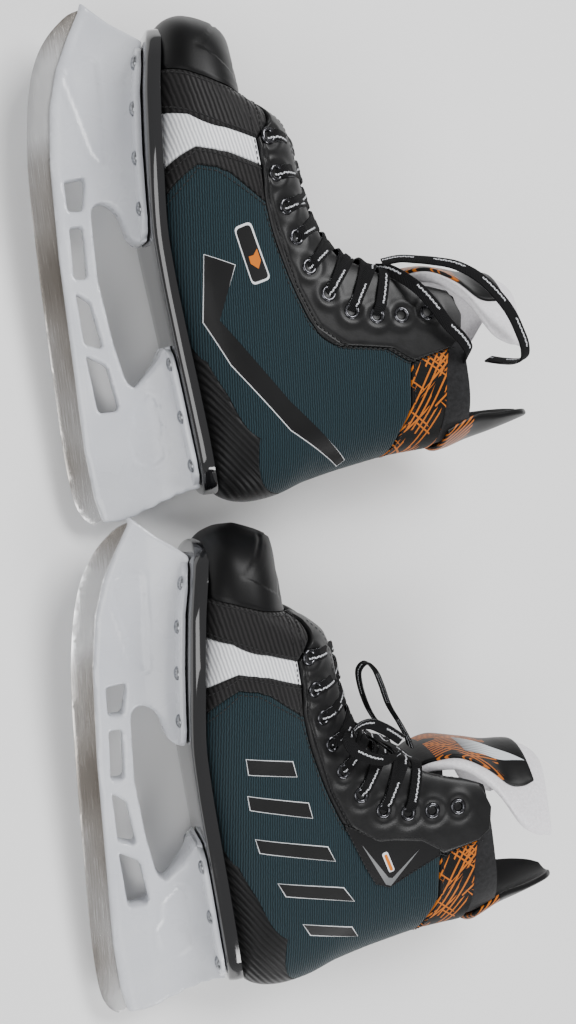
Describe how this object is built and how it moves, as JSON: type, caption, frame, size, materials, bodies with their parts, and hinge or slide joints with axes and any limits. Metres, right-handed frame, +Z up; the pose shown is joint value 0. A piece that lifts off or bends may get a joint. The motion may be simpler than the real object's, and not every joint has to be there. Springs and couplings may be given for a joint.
{
  "type": "hockey skates",
  "caption": "Pair of ice hockey skates lying on their sides, with steel runners in moulded holders, laced boots, folding tongues and flexing tendon guards.",
  "frame": {"origin": "middle of the pair's footprint, on the surface they lie on", "axes": "+X from the runners to the boot openings, +Y towards the toes, +Z up"},
  "size_m": [0.3036, 0.5691, 0.123],
  "materials": {
    "steel": "ground and polished",
    "holder_plastic": "glossy moulding",
    "bolt_steel": "plain",
    "rivet_steel": "domed heads",
    "outsole_plastic": "glossy",
    "board": "pressed fibre",
    "footbed_foam": "brushed",
    "liner_fabric": "brushed",
    "cap_plastic": "satin",
    "band_fabric": "ribbed",
    "flash_fabric": "ribbed, silver white",
    "quarter_fabric": "fine ribs",
    "counter_plastic": "ribbed",
    "eyestay_leather": "smooth",
    "eyelet_metal": "black nickel",
    "cuff_fabric": "hatched print",
    "guard_plastic": "satin",
    "tongue_leather": "smooth with a print",
    "tongue_felt": "felt",
    "lace_fabric": "waxed weave"
  },
  "bodies": {
    "left_skate": {"left_runner": "steel", "left_holder": "holder_plastic", "left_runner_bolts": "bolt_steel", "left_holder_rivets": "rivet_steel", "left_outsole": "outsole_plastic", "left_insole_board": "board", "left_footbed": "footbed_foam", "left_liner": "liner_fabric", "left_toe_cap": "cap_plastic", "left_toe_band": "band_fabric", "left_outer_flash": "flash_fabric", "left_inner_flash": "flash_fabric", "left_outer_flash_band": "band_fabric", "left_inner_flash_band": "band_fabric", "left_outer_quarter": "quarter_fabric", "left_inner_quarter": "quarter_fabric", "left_heel_counter": "counter_plastic", "left_outer_eyestay": "eyestay_leather", "left_inner_eyestay": "eyestay_leather", "left_eyelets": "eyelet_metal", "left_outer_cuff": "cuff_fabric", "left_inner_cuff": "cuff_fabric", "left_tongue_base": "tongue_leather", "left_lace_crossings": "lace_fabric", "left_lace_bow": "lace_fabric"},
    "left_tongue": {"left_tongue_skin": "tongue_leather", "left_tongue_felt": "tongue_felt"},
    "left_guard": {"left_tendon_guard": "guard_plastic"},
    "right_skate": {"right_runner": "steel", "right_holder": "holder_plastic", "right_runner_bolts": "bolt_steel", "right_holder_rivets": "rivet_steel", "right_outsole": "outsole_plastic", "right_insole_board": "board", "right_footbed": "footbed_foam", "right_liner": "liner_fabric", "right_toe_cap": "cap_plastic", "right_toe_band": "band_fabric", "right_outer_flash": "flash_fabric", "right_inner_flash": "flash_fabric", "right_outer_flash_band": "band_fabric", "right_inner_flash_band": "band_fabric", "right_outer_quarter": "quarter_fabric", "right_inner_quarter": "quarter_fabric", "right_heel_counter": "counter_plastic", "right_outer_eyestay": "eyestay_leather", "right_inner_eyestay": "eyestay_leather", "right_eyelets": "eyelet_metal", "right_outer_cuff": "cuff_fabric", "right_inner_cuff": "cuff_fabric", "right_tongue_base": "tongue_leather", "right_lace_crossings": "lace_fabric", "right_lace_bow": "lace_fabric"},
    "right_tongue": {"right_tongue_skin": "tongue_leather", "right_tongue_felt": "tongue_felt"},
    "right_guard": {"right_tendon_guard": "guard_plastic"}
  },
  "joints": [
    {"name": "left_tongue_fold", "type": "hinge", "parent": "left_skate", "child": "left_tongue", "pos_m": [0.05507, 0.13044, 0.06064], "axis": [-0.2054, -0.08, 0.9754], "range_deg": [0, 30]},
    {"name": "left_guard_flex", "type": "hinge", "parent": "left_skate", "child": "left_guard", "pos_m": [0.08556, 0.01947, 0.05796], "axis": [0.2054, 0.08, -0.9754], "range_deg": [0, 25], "stiffness_Nm_per_rad": 2},
    {"name": "right_tongue_fold", "type": "hinge", "parent": "right_skate", "child": "right_tongue", "pos_m": [0.04179, -0.15999, 0.06064], "axis": [-0.2091, -0.0699, 0.9754], "range_deg": [0, 30]},
    {"name": "right_guard_flex", "type": "hinge", "parent": "right_skate", "child": "right_guard", "pos_m": [0.06682, -0.27232, 0.05796], "axis": [0.2091, 0.0699, -0.9754], "range_deg": [0, 25], "stiffness_Nm_per_rad": 2},
    {"name": "pair_slide", "type": "slide", "parent": "left_skate", "child": "right_skate", "axis": [0, -1, 0], "range_m": [0, 0.12]}
  ]
}
